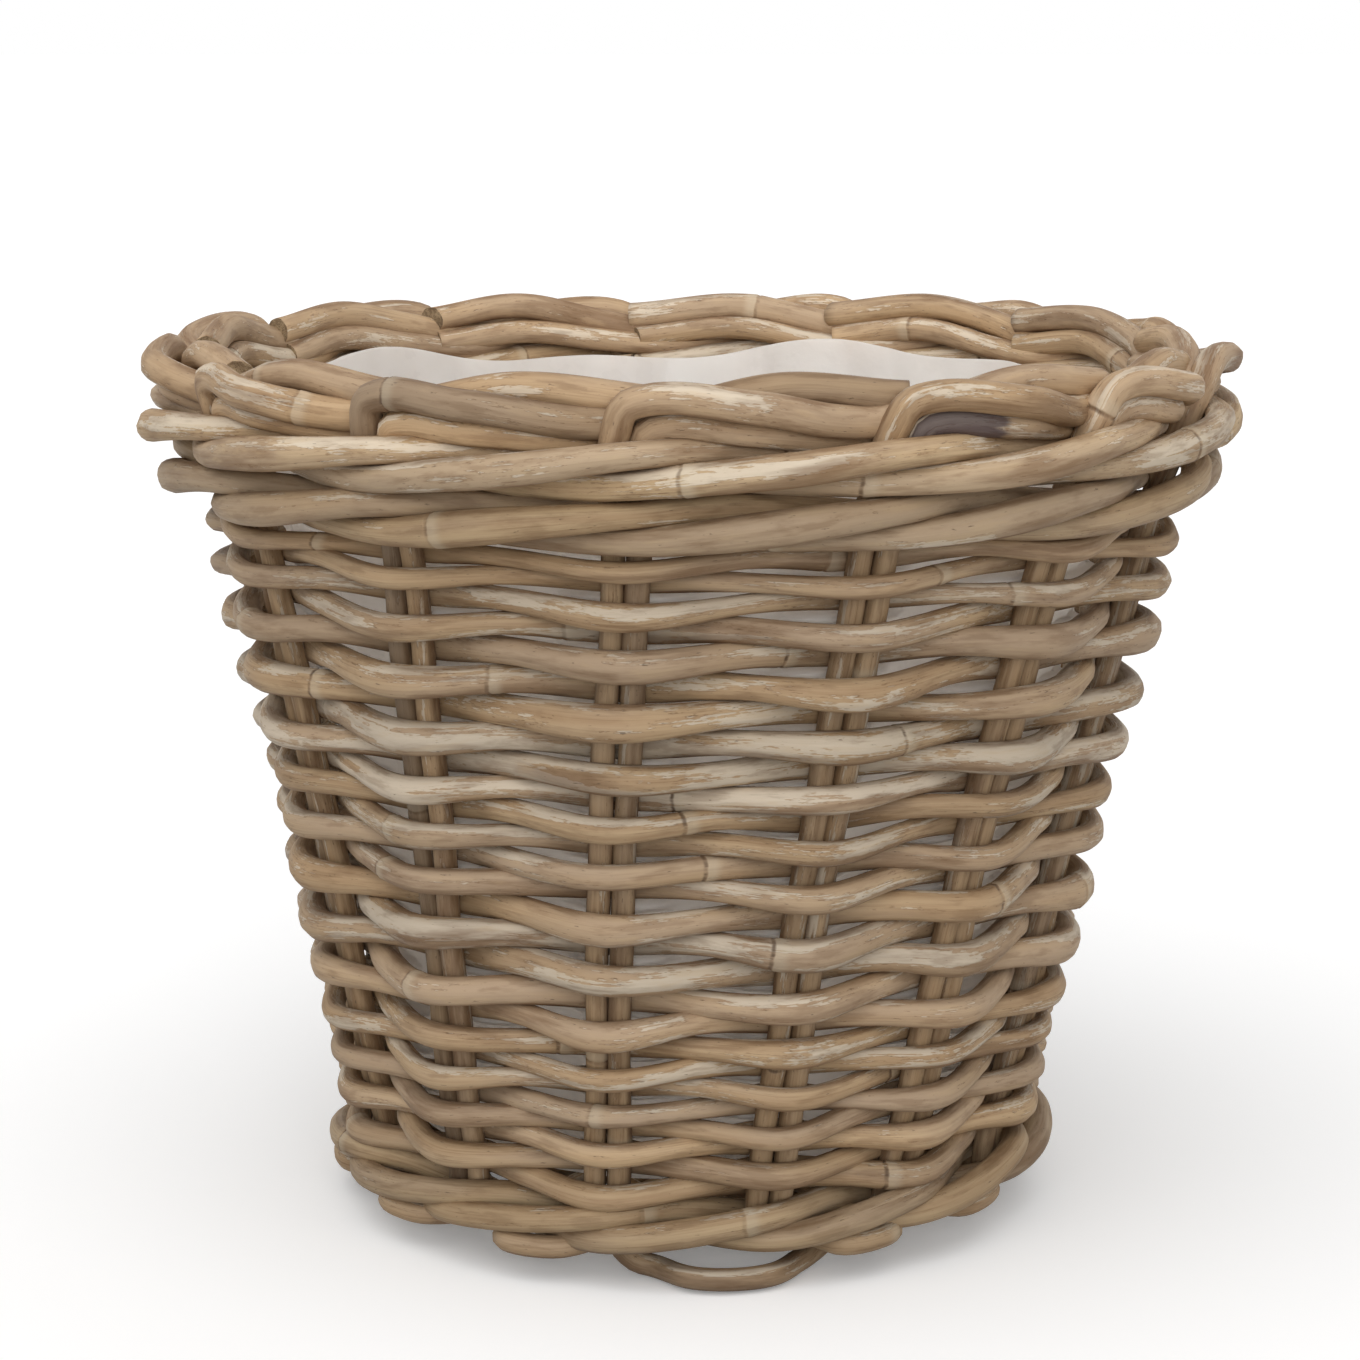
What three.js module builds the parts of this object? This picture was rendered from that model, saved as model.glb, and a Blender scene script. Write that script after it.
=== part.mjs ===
// A round rattan planter basket, hand woven, with a plastic film liner.
// Millimetres, +Z up, standing on the floor at z = 0, with the front at -Y.
import * as THREE from 'three';

// Overall shape: the radius of the circle on which the stakes stand, from the floor to the rim.
const BASKET_HEIGHT = 244;
const FOOT_RADIUS = 90.5;
const HEEL_RADIUS = 92;
const WAIST_RADIUS = 109.5;
const SHOULDER_RADIUS = 131;
const RIM_RADIUS = 147;
const STAKE_LEAN_DEG = 10;

// Upright stakes, which stand in pairs and turn over into the border.
const PAIR_COUNT = 13;
const FRONT_PAIR_DEG = -11;
const STAKE_DIAMETER = 6;
const PAIR_GAP = 0.5;
const ELBOW_RADIUS = 5;
const ELBOW_STEPS = 3;
const BORDER_BULGE = 5;
const FOOT_BULGE = 4;

// Where a turned-over stake lies furthest out, dives in, is tucked and ends, as shares of the
// way from its own pair to the next.
const RUN_CREST = 0.4;
const RUN_DIVE = 0.88;
const RUN_TUCK = 1.12;
const BORDER_END = 1.52;
const FOOT_END = 1.3;

// Side weavers, one after the other up the wall: a rod swells in front of a pair and is pinched
// where two rows cross.
const SIDE_WEAVERS = 16;
const WEAVER_DEPTH = 7.2;
const WEAVER_HEIGHT = 5.5;
const WEAVER_PASS_HEIGHT = 8;
const STEP_UP_PAIRS = 2;

// Waling: three rods at a time, each in front of two pairs and behind one. The strokes lie
// further apart than the rods are high, by the nests, to slip past each other.
const WALE_DEPTH = 8.4;
const WALE_HEIGHT = 6;
const WALE_PASS_HEIGHT = 5;
const WALE_STROKE_HEIGHT = 8;
const WALE_BULGE = 3.5;
const WALE_INSET = 2.5;
const WALE_PASS_NEST = 1.44;
const WALE_CROSS_NEST = 1.2;

// Base: two groups of crossed sticks, bound by two weavers that chase each other.
const BASE_GROUP = 3;
const BASE_STICK_DIAMETER = 6;
const BASE_WEAVERS = 2;
const BASE_WEAVER_WIDTH = 5.4;
const BASE_WEAVER_HEIGHT = 5;
const BASE_EYE_RADIUS = 15;
const BASE_BIND_RADIUS = 38;
const BASE_FLOOR_GAP = 2.4;

// Liner: a plastic film cup, drawn thicker than the real film, that swells into the weave.
const LINER_WALL = 0.8;
const LINER_TOP_DROP = 9;
const LINER_SWELL = 7;

// Clearances between neighbouring rods, and at butted rod ends, and the rounds of refinement
// that settle how far a rod stands off what it passes.
const ROD_CLEARANCE = 0.4;
const BUTT_GAP = 0.8;
const OFFSET_ROUNDS = 12;

// Colours and roughness of the weathered cane and of the film.
const CANE_COLOURS = { stake: 0x8f7a5c, weaver: 0xab9775, wale: 0xb3a185, base: 0x9a8768 };
const CANE_ROUGHNESS = 0.75;
const LINER_COLOUR = 0xcfcdc9;
const LINER_ROUGHNESS = 0.35;

const UP = new THREE.Vector3(0, 0, 1);
const PAIR_STEP = 2 * Math.PI / PAIR_COUNT;
const pairPitch = STAKE_DIAMETER + PAIR_GAP;
const stakeRadius = STAKE_DIAMETER / 2;

// A rod's section is six-sided, half a unit to each side, with corners a little further out.
const SECTION_CORNER = new THREE.Vector2(0.25, 0.5);
const stakeReach = STAKE_DIAMETER * SECTION_CORNER.length();

// Heights of the bands, from the floor up and from the rim down.
const footLoopZ = stakeRadius;
const waleLayer = Math.max(WALE_HEIGHT * WALE_CROSS_NEST, WALE_PASS_HEIGHT * WALE_PASS_NEST);
const waleRoundHeight = waleLayer + Math.max(WALE_HEIGHT, WALE_PASS_HEIGHT);
const footWaleZ = STAKE_DIAMETER + ROD_CLEARANCE + waleRoundHeight / 2;
const wallBottomZ = footWaleZ + waleRoundHeight / 2 + ROD_CLEARANCE;
const borderUpperZ = BASKET_HEIGHT - stakeRadius;
const borderLowerZ = borderUpperZ - pairPitch;
const upperWaleZ = borderLowerZ - stakeRadius - ROD_CLEARANCE - waleRoundHeight / 2;
const lowerWaleZ = upperWaleZ - 2 * waleLayer;
const wallTopZ = lowerWaleZ - waleRoundHeight / 2 - ROD_CLEARANCE;

// The wall's profile, straight between its stations.
const PROFILE = [
  [0, FOOT_RADIUS],
  [wallBottomZ, HEEL_RADIUS],
  [(wallBottomZ + wallTopZ) / 2, WAIST_RADIUS],
  [wallTopZ, SHOULDER_RADIUS],
  [BASKET_HEIGHT, RIM_RADIUS],
];

function profileSegment(z) {
  const last = PROFILE.length - 2;
  const found = PROFILE.findIndex(([stationZ], i) => i > 0 && z <= stationZ) - 1;
  const index = found < 0 ? last : Math.min(found, last);
  const [z0, r0] = PROFILE[index];
  const [z1, r1] = PROFILE[index + 1];
  return { z0, r0, slope: (r1 - r0) / (z1 - z0) };
}

function wallRadius(z) {
  const { z0, r0, slope } = profileSegment(z);
  return r0 + slope * (z - z0);
}

// How much a stake's lean lengthens a level distance measured square to it.
function leanFactor(z) {
  return Math.hypot(1, profileSegment(z).slope);
}

// The angle of a place counted in stake pairs from the back, turned by the stakes' lean.
const frontPair = Math.floor(PAIR_COUNT / 2) + 1;
const leanPerMm = THREE.MathUtils.degToRad(STAKE_LEAN_DEG) / BASKET_HEIGHT;

function placeAngle(place, z) {
  const lean = leanPerMm * (z - BASKET_HEIGHT / 2);
  return THREE.MathUtils.degToRad(FRONT_PAIR_DEG) + (place - frontPair) * PAIR_STEP + lean;
}

function radial(angle) {
  return new THREE.Vector3(Math.sin(angle), -Math.cos(angle), 0);
}

// One ring of a rod: its centre, its size along two directions, and those directions.
function ring(centre, normal, depth, binormal, height) {
  return {
    centre,
    normal: normal.clone().multiplyScalar(depth),
    binormal: binormal.clone().multiplyScalar(height),
  };
}

// A path through exact rings, so that a rod's section swells and is pinched along its way: an
// extrusion takes a path's spaced points and frames, and these are the rings' own.
class RodPath extends THREE.Curve {
  constructor(rings) {
    super();
    this.rings = rings;
  }

  getSpacedPoints() {
    return this.rings.map(({ centre }) => centre.clone());
  }

  computeFrenetFrames() {
    return {
      normals: this.rings.map(({ normal }) => normal),
      binormals: this.rings.map(({ binormal }) => binormal),
    };
  }
}

// The section of unit size, pointed across the wall and flat along it.
const { x: cornerX, y: cornerY } = SECTION_CORNER;
const ROD_SECTION = new THREE.Shape([
  new THREE.Vector2(0.5, 0),
  new THREE.Vector2(cornerX, cornerY),
  new THREE.Vector2(-cornerX, cornerY),
  new THREE.Vector2(-0.5, 0),
  new THREE.Vector2(-cornerX, -cornerY),
  new THREE.Vector2(cornerX, -cornerY),
]);

const basket = new THREE.Group();

function addMesh(name, geometry, color, roughness) {
  const material = new THREE.MeshStandardMaterial({ color, roughness, metalness: 0 });
  const mesh = new THREE.Mesh(geometry, material);
  mesh.name = name;
  basket.add(mesh);
}

function addRod(name, rings, kind) {
  const geometry = new THREE.ExtrudeGeometry(ROD_SECTION, {
    extrudePath: new RodPath(rings),
    steps: rings.length - 1,
    bevelEnabled: false,
  });
  addMesh(name, geometry, CANE_COLOURS[kind], CANE_ROUGHNESS);
}

// How far a rod's middle stands off the middle of what it passes, so that its sloping flanks
// clear it: side is half the spread of the round rods passed, run and fall the way from there
// to the crossing with the next row.
function passOffset(depth, passedReach, side, run, fall) {
  let offset = depth;
  for (let round = 0; round < OFFSET_ROUNDS; round++) {
    const slope = Math.max(0, offset + fall) / run;
    offset = depth / 2 + slope * side + (passedReach + ROD_CLEARANCE) * Math.hypot(1, slope);
  }
  return offset;
}

// The stand-offs of a rod in front of a pair and behind it, where it crosses inside the stakes.
function pairPasses(z, depth, inset) {
  const crossRadius = wallRadius(z) - inset;
  const run = crossRadius * Math.sin(PAIR_STEP / 2);
  const fall = wallRadius(z) - crossRadius * Math.cos(PAIR_STEP / 2);
  const reach = stakeReach * leanFactor(z);
  return {
    front: passOffset(depth, reach, pairPitch / 2, run, fall),
    behind: passOffset(depth, reach, pairPitch / 2, run, -fall),
  };
}

// Rows of the side: level rings joined by a step up at the back. Near a crossing two rows stay
// one above the other for a share of the way to the next pair, and the rods swell meanwhile.
const wallMiddleZ = (wallBottomZ + wallTopZ) / 2;
const wallSlope = Math.max(profileSegment(wallMiddleZ).slope, profileSegment(wallTopZ).slope);
const crossHeight = WEAVER_HEIGHT + ROD_CLEARANCE;
const passSpread = 2 * pairPasses(wallMiddleZ, WEAVER_DEPTH, 0).behind;
const crossShare = (WEAVER_DEPTH / 2 + wallSlope * crossHeight) / passSpread;
const leastPitch = crossHeight + crossShare * (WEAVER_PASS_HEIGHT - WEAVER_HEIGHT);
const rowSpan = wallTopZ - wallBottomZ - WEAVER_PASS_HEIGHT;
const rowCount = Math.floor(rowSpan / leastPitch) + 1;
const rowPitch = rowSpan / (rowCount - 1);
const firstRowZ = wallBottomZ + WEAVER_PASS_HEIGHT / 2;

// A ring of a level rod at a place round the wall, standing off the stake circle.
function levelRing(place, z, standOff, depth, height) {
  const angle = placeAngle(place, z);
  const out = radial(angle);
  const centre = out.clone().multiplyScalar(wallRadius(z) + standOff).setZ(z);
  return ring(centre, out, depth, UP, -height);
}

// Stakes: points are given by their distance along the wall from the pair's middle, their
// height and their stand-off, and the section is square to the path in the wall's surface.
function stakeRings(pair, route) {
  const points = route.map(({ along, z, standOff }) => {
    const radius = wallRadius(z);
    const angle = placeAngle(pair, z) + along / radius;
    return radial(angle).multiplyScalar(radius + standOff).setZ(z);
  });
  return points.map((centre, i) => {
    const before = points[Math.max(i - 1, 0)];
    const after = points[Math.min(i + 1, points.length - 1)];
    const legs = [centre.clone().sub(before), after.clone().sub(centre)];
    const tangent = legs[0].normalize().add(legs[1].normalize()).normalize();
    const out = new THREE.Vector3(centre.x, centre.y, 0).normalize();
    const side = tangent.clone().cross(out).normalize();
    return ring(centre, out, STAKE_DIAMETER, side, STAKE_DIAMETER);
  });
}

// The elbow of a pair's turn: both stakes bend about one centre, one outside the other.
function elbow(radius, centreZ, upward) {
  const centreAlong = pairPitch / 2 + ELBOW_RADIUS;
  return Array.from({ length: ELBOW_STEPS + 1 }, (_, i) => {
    const turn = Math.PI / 2 * i / ELBOW_STEPS;
    return {
      along: centreAlong - radius * Math.cos(turn),
      z: centreZ + upward * radius * Math.sin(turn),
      standOff: 0,
    };
  });
}

// The run of a turned-over stake: out past the front, in behind the next pair, and its cut end.
function turnedRun(z, bulge, end) {
  const gap = PAIR_STEP * wallRadius(z);
  const behind = -(STAKE_DIAMETER + 2 * ROD_CLEARANCE);
  const run = [[RUN_CREST, bulge], [RUN_DIVE, behind], [RUN_TUCK, behind], [end, behind]];
  return run.map(([share, standOff]) => ({ along: share * gap, z, standOff }));
}

function addStakes() {
  const topCentreZ = borderLowerZ - ELBOW_RADIUS;
  const footCentreZ = footLoopZ + ELBOW_RADIUS;
  const wall = PROFILE.slice(1, -1).map(([z]) => z);
  for (let pair = 1; pair <= PAIR_COUNT; pair++) {
    const label = String(pair).padStart(2, '0');
    const upright = (along) => wall.map((z) => ({ along, z, standOff: 0 }));
    const leftRoute = [
      { along: -pairPitch / 2, z: STAKE_DIAMETER + ROD_CLEARANCE, standOff: 0 },
      ...upright(-pairPitch / 2),
      ...elbow(ELBOW_RADIUS + pairPitch, topCentreZ, 1),
      ...turnedRun(borderUpperZ, BORDER_BULGE, BORDER_END),
    ];
    const rightRoute = [
      ...turnedRun(footLoopZ, FOOT_BULGE, FOOT_END).reverse(),
      ...elbow(ELBOW_RADIUS, footCentreZ, -1).reverse(),
      ...upright(pairPitch / 2),
      ...elbow(ELBOW_RADIUS, topCentreZ, 1),
      ...turnedRun(borderLowerZ, BORDER_BULGE, BORDER_END),
    ];
    addRod(`stake_${label}_left`, stakeRings(pair, leftRoute), 'stake');
    addRod(`stake_${label}_right`, stakeRings(pair, rightRoute), 'stake');
  }
}

// Side weavers: in front of odd places and behind even ones, all the way up. The number of pairs
// is odd, so that a row passes in front where the one below passes behind.
function rowZ(place) {
  const row = Math.floor(place / PAIR_COUNT);
  const within = place - row * PAIR_COUNT;
  const climb = Math.max(0, within - (PAIR_COUNT - STEP_UP_PAIRS)) / STEP_UP_PAIRS;
  return firstRowZ + rowPitch * (row + climb);
}

function weaverPassRing(place, inFront) {
  const z = rowZ(place);
  const { front, behind } = pairPasses(z, WEAVER_DEPTH, 0);
  return levelRing(place, z, inFront ? front : -behind, WEAVER_DEPTH, WEAVER_PASS_HEIGHT);
}

function weaverCrossRing(place) {
  return levelRing(place, rowZ(place), 0, WEAVER_DEPTH, WEAVER_HEIGHT);
}

function addSideWeavers() {
  const evenPlaces = Math.floor((rowCount * PAIR_COUNT - STEP_UP_PAIRS - 1) / 2);
  const breakPlace = (index) => 2 * Math.round(evenPlaces * index / SIDE_WEAVERS);
  for (let index = 0; index < SIDE_WEAVERS; index++) {
    const first = breakPlace(index);
    const last = breakPlace(index + 1);
    const rings = [];
    for (let place = first; place <= last; place++) {
      const butt = BUTT_GAP / wallRadius(rowZ(place)) / PAIR_STEP;
      const shift = place === first ? butt / 2 : place === last ? -butt / 2 : 0;
      rings.push(weaverPassRing(place + shift, place % 2 === 1));
      if (place < last) rings.push(weaverCrossRing(place + 0.5));
    }
    addRod(`side_weaver_${String(index + 1).padStart(2, '0')}`, rings, 'weaver');
  }
}

// Waling: a stroke comes out beside a pair, rises in front of the next two and goes in again.
function waleRing(place, z, part, shift) {
  const { front, behind } = pairPasses(z, WALE_DEPTH, WALE_INSET);
  const low = z - waleLayer / 2;
  const high = z + waleLayer / 2;
  const parts = {
    behind: [z, -behind, WALE_HEIGHT],
    comesOut: [low, -WALE_INSET, WALE_HEIGHT],
    frontLow: [low, front, WALE_PASS_HEIGHT],
    front: [z, front + WALE_BULGE, WALE_STROKE_HEIGHT],
    frontHigh: [high, front, WALE_PASS_HEIGHT],
    goesIn: [high, -WALE_INSET, WALE_HEIGHT],
  };
  const [ringZ, standOff, height] = parts[part];
  return levelRing(place + shift, ringZ, standOff, WALE_DEPTH, height);
}

// A stroke has a part every half place, and there is one rod for each pair that it takes up.
const STROKE = ['behind', 'comesOut', 'frontLow', 'front', 'frontHigh', 'goesIn'];
const waleRods = STROKE.length / 2;

function addWaleRound(name, z) {
  for (let rod = 0; rod < waleRods; rod++) {
    const butt = BUTT_GAP / wallRadius(z) / PAIR_STEP;
    const rings = [];
    let place = rod;
    for (; place < PAIR_COUNT; place += waleRods) {
      STROKE.forEach((part, i) => {
        const shift = place === rod && i === 0 ? butt / 2 : 0;
        rings.push(waleRing(place + i / 2, z, part, shift));
      });
    }
    rings.push(waleRing(place, z, 'behind', -butt / 2));
    addRod(`${name}_${rod + 1}`, rings, 'wale');
  }
}

// Base: sticks crossed in two layers at the eye, fanned into even spokes and woven flat.
const spokeCount = 4 * BASE_GROUP;
const baseOffset = passOffset(
  BASE_WEAVER_HEIGHT,
  BASE_STICK_DIAMETER * SECTION_CORNER.length(),
  0,
  BASE_BIND_RADIUS * Math.sin(Math.PI / spokeCount),
  0,
);
const baseZ = BASE_FLOOR_GAP + BASE_WEAVER_HEIGHT / 2 + baseOffset;
const baseTopZ = baseZ + baseOffset + BASE_WEAVER_HEIGHT / 2;

// The clear radius inside the deepest rod at a height.
function insideRadius(z) {
  const wale = pairPasses(z, WALE_DEPTH, WALE_INSET).behind + WALE_DEPTH / 2;
  const weaver = pairPasses(z, WEAVER_DEPTH, 0).behind + WEAVER_DEPTH / 2;
  return wallRadius(z) - Math.max(wale, weaver) - ROD_CLEARANCE;
}

const baseRadius = Math.min(insideRadius(0), insideRadius(baseZ));

function addBaseSticks() {
  const spread = BASE_STICK_DIAMETER + ROD_CLEARANCE;
  const fanRadius = BASE_BIND_RADIUS - BASE_WEAVER_WIDTH;
  for (let group = 0; group < 2; group++) {
    const eyeZ = baseZ + (group === 0 ? 1 : -1) * spread / 2;
    const heading = group * Math.PI / 2;
    for (let stick = 0; stick < BASE_GROUP; stick++) {
      const slot = stick - (BASE_GROUP - 1) / 2;
      const fan = slot * 2 * Math.PI / spokeCount;
      const half = [
        { x: BASE_EYE_RADIUS, y: slot * spread, z: eyeZ },
        { x: fanRadius * Math.cos(fan), y: fanRadius * Math.sin(fan), z: baseZ },
        { x: baseRadius * Math.cos(fan), y: baseRadius * Math.sin(fan), z: baseZ },
      ];
      const mirrored = half.map(({ x, y, z }) => ({ x: -x, y, z })).reverse();
      const rings = [...mirrored, ...half].map(({ x, y, z }) => {
        const centre = new THREE.Vector3(x, y, z).applyAxisAngle(UP, heading);
        const across = new THREE.Vector3(0, 1, 0).applyAxisAngle(UP, heading);
        const dir = Math.abs(x) > BASE_EYE_RADIUS ? Math.sign(x) * fan : 0;
        across.applyAxisAngle(UP, dir);
        return ring(centre, UP, BASE_STICK_DIAMETER, across, -BASE_STICK_DIAMETER);
      });
      addRod(`base_stick_${group * BASE_GROUP + stick + 1}`, rings, 'base');
    }
  }
}

function addBaseWeavers() {
  const rowWidth = BASE_WEAVER_WIDTH + ROD_CLEARANCE;
  const room = baseRadius - BASE_BIND_RADIUS - rowWidth - BASE_WEAVER_WIDTH / 2;
  const spokes = Math.floor(spokeCount * room / (BASE_WEAVERS * rowWidth));
  for (let weaver = 0; weaver < BASE_WEAVERS; weaver++) {
    const rings = [];
    for (let half = 0; half <= 2 * spokes; half++) {
      const place = half / 2;
      const angle = 2 * Math.PI * place / spokeCount;
      const radius = BASE_BIND_RADIUS + rowWidth * (weaver + BASE_WEAVERS * place / spokeCount);
      const overUnder = half % 2 === 1 ? 0 : (place + weaver) % 2 === 0 ? 1 : -1;
      const out = new THREE.Vector3(Math.cos(angle), Math.sin(angle), 0);
      const centre = out.clone().multiplyScalar(radius).setZ(baseZ + overUnder * baseOffset);
      rings.push(ring(centre, out, BASE_WEAVER_WIDTH, UP, -BASE_WEAVER_HEIGHT));
    }
    addRod(`base_weaver_${weaver + 1}`, rings, 'base');
  }
}

// Liner: a film cup that stands on the base and lines the wall up to the border. Its columns are
// turned with the stakes, at the pairs and midway, and its levels lie at the rows and midway.
const linerColumns = 2 * PAIR_COUNT;
const linerRowLevels = 2 * (rowCount - 1);

// The film swells out behind each pass in front of a pair, and lies flat where the rows step up.
function linerSwell(column, level) {
  const place = column / 2;
  const row = level / 2;
  const atPair = Number.isInteger(place) && place <= PAIR_COUNT - STEP_UP_PAIRS;
  const atRow = Number.isInteger(row) && level > 0 && level <= linerRowLevels;
  return atPair && atRow && (place + row) % 2 === 1 ? LINER_SWELL : 0;
}

function addLiner() {
  const bottomZ = baseTopZ + ROD_CLEARANCE;
  const topZ = BASKET_HEIGHT - LINER_TOP_DROP;
  const rowLevels = Array.from({ length: linerRowLevels }, (_, i) => firstRowZ + rowPitch * (i + 1) / 2);
  const levels = [bottomZ, ...rowLevels, wallTopZ, topZ];
  const outer = levels.map((z) => new THREE.Vector2(insideRadius(z), z));
  const inner = levels.map((z, i) => {
    const floor = i === 0 ? LINER_WALL : 0;
    return new THREE.Vector2(insideRadius(z) - LINER_WALL, z + floor);
  });
  const profile = [
    new THREE.Vector2(0, bottomZ),
    ...outer,
    ...inner.reverse(),
    new THREE.Vector2(0, bottomZ + LINER_WALL),
  ];
  const geometry = new THREE.LatheGeometry(profile, linerColumns);
  const position = geometry.attributes.position;
  for (let i = 0; i < position.count; i++) {
    const column = Math.floor(i / profile.length) % linerColumns;
    const step = i % profile.length;
    const level = Math.min(step - 1, profile.length - 2 - step);
    const { x: radius, y: z } = profile[step];
    const out = radial(placeAngle(column / 2, z)).multiplyScalar(radius + linerSwell(column, level));
    position.setXYZ(i, out.x, out.y, z);
  }
  geometry.computeVertexNormals();
  addMesh('plastic_liner', geometry, LINER_COLOUR, LINER_ROUGHNESS);
}

addStakes();
addSideWeavers();
addWaleRound('foot_wale', footWaleZ);
addWaleRound('rim_wale_lower', lowerWaleZ);
addWaleRound('rim_wale_upper', upperWaleZ);
addBaseSticks();
addBaseWeavers();
addLiner();

// The origin is under the middle of the finished basket's box.
const middle = new THREE.Box3().setFromObject(basket).getCenter(new THREE.Vector3());
basket.position.set(-middle.x, -middle.y, 0);

export default basket;
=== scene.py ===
import math

import bpy
import numpy as np
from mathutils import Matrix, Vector


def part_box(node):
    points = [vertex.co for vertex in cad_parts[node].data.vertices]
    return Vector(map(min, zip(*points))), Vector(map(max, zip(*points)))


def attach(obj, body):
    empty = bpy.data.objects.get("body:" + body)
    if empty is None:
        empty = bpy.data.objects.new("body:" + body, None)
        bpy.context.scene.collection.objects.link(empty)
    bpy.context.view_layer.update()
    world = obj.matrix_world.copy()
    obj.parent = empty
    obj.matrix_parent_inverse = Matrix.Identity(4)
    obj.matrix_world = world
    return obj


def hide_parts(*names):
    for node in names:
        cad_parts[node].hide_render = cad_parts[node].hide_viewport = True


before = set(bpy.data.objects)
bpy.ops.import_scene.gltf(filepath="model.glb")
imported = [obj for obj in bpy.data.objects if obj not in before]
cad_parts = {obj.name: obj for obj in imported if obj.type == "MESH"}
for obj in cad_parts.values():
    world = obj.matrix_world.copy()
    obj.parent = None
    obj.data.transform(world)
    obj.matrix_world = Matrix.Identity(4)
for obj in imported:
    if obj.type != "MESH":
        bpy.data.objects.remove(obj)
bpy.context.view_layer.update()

# Sizes in millimetres, close to those of the solids that the pieces replace.
MM = 0.001
BASKET_HEIGHT = 244.0
WALL_Z = (0.0, 20.0, 111.55, 203.1, BASKET_HEIGHT)
WALL_RADIUS = (90.5, 92.0, 109.5, 131.0, 147.0)
STAKE_LEAN = math.radians(10.0)
PAIRS = 13
FRONT_PAIR = 7
FRONT_PAIR_ANGLE = math.radians(-11.0)
PAIR_STEP = 2 * math.pi / PAIRS

# Stakes in pairs: both turn over to the right at the top, and the right one turns under at the foot.
STAKE_DIAMETER = 6.3
STAKE_FOOT_Z = 6.4
STAKE_WALL_KNOTS = 9
PAIR_PITCH = 6.5
ELBOW_STEPS = 3
UPPER_BORDER = {"z": 242.5, "swell": 1.3, "elbow": 5.5, "bulge": 5.0, "droop": 6.0, "depth": 6.2}
LOWER_BORDER = {"z": 235.5, "swell": 1.15, "elbow": 3.4, "bulge": 2.5, "droop": 3.5, "depth": 8.5}
BORDER_SWELL_Z = (224.5, 234.5)
BORDER_CREST = 0.4
BORDER_DIVE = 0.88
BORDER_TUCK = 1.12
BORDER_TAIL = 1.5
BORDER_END = 2.0
TAIL_RISE = 2.0
TAIL_FALL = 1.0
TAIL_INSET = 9.2
FOOT_ELBOW_RADIUS = 11.0
FOOT_BULGE = 8.5
FOOT_TUCK_DEPTH = 6.8
FOOT_LOOP_Z = 3.8
FOOT_LOOP = {"fall": 0.42, "crest": 0.72, "dive": 1.06, "tuck": 1.25, "end": 1.4, "rise": 3.0}
RESTING_LOOP_Z = 4.6
RESTING_LOOP = {"fall": 0.55, "crest": 0.98, "dive": 1.45, "tuck": 1.6, "end": 1.72, "rise": 6.0}

# Side weavers: rows that dip in front of a pair and swell in height behind the next.
SIDE_WEAVERS = 16
ROWS = 27
FIRST_ROW_Z = 24.0
ROW_PITCH = 6.827
ROW_WAVES = (-1.4, -1.7, 0.2, -0.6, 1.4)
STEP_UP_PAIRS = 2
WEAVER_DEPTH = 7.2
WEAVER_SQUEEZE = 0.97
WEAVER_SWELL = 1.15
WEAVER_BACK_SWELL = 1.4
WEAVER_DIP = 1.7
WEAVER_BACK_DIP = 0.3
WEAVER_UNEVEN = 0.5
WEAVER_HEIGHT_SPREAD = (0.9, 1.1)
PASS_CLEARANCE = 0.5
BUTT_GAP = 0.8

# Waling: rods in front of two pairs and behind one.
WALE_RODS = 3
WALE_DEPTH = 8.2
WALE_HEIGHT = 7.2
WALE_LAYER = 7.2
WALE_INSET = 2.5
FOOT_WALE = {"z": 11.8, "bulge": 2.0, "stroke": 7.8, "shade": (0.76, 0.9)}
LOWER_WALE = {"z": 211.2, "bulge": 4.5, "stroke": 9.2, "shade": (0.92, 1.1)}
UPPER_WALE = {"z": 225.6, "bulge": 4.5, "stroke": 9.2, "shade": (0.92, 1.1)}

# Base: two crossed groups of sticks fanned into spokes, and two flat weavers.
STICK_GROUPS = 2
STICKS_IN_GROUP = 3
SPOKES = 2 * STICK_GROUPS * STICKS_IN_GROUP
BASE_STICK_DIAMETER = 6.0
BASE_STICK_GAP = 0.4
BASE_WEAVERS = 2
BASE_WEAVER_WIDTH = 5.6
BASE_WEAVER_HEIGHT = 5.2
BASE_ROW_WIDTH = 5.8
BASE_EYE_RADIUS = 15.0
BASE_BIND_RADIUS = 38.0
BASE_Z = 12.04
BASE_WAVE = 6.4

# Liner: a thin film that hangs in creases inside the wall and swells into the gaps of the weave.
LINER_Z = (22.1, *WALL_Z[2:4], 235.0)
LINER_RADIUS = (79.0, 96.3, 117.9, 128.6)
LINER_FILM = 0.25
LINER_SIDES = 520
LINER_LEVELS = 260
LINER_FLOOR_RINGS = 24
LINER_FLOOR_EYE = 0.04
LINER_FLOOR_CREASE = 0.35
LINER_EDGE_DROP = 4.0
CREASE_DEPTH = 3.2
CREASE_FADE = 12.0
CREASE_LEAST = 0.15
CREASE_WANDER = 1.4
CREASE_TWIST = 2
CREASE_TWISTS = 3
CREASE_PHASES = 6.3
SWELL_DEPTH = 6.5
SWELL_HOLLOW = (0.3, 1.0)
SWELL_FADE = 10.0
SPARE_ROWS = 2

# Folds of the film: how many go round, how they sway as they climb, and their share of the depth.
FOLDS = ((9, 0.012, 0.8), (17, 0.021, 0.9), (31, 0.034, 0.6), (53, 0.05, 0.35))

# Waves of the film's edge: how high they are, how many go round, and their turn.
LINER_EDGE_WAVES = ((2.5, 5, 0.4), (1.5, 11, 2.0))

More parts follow.
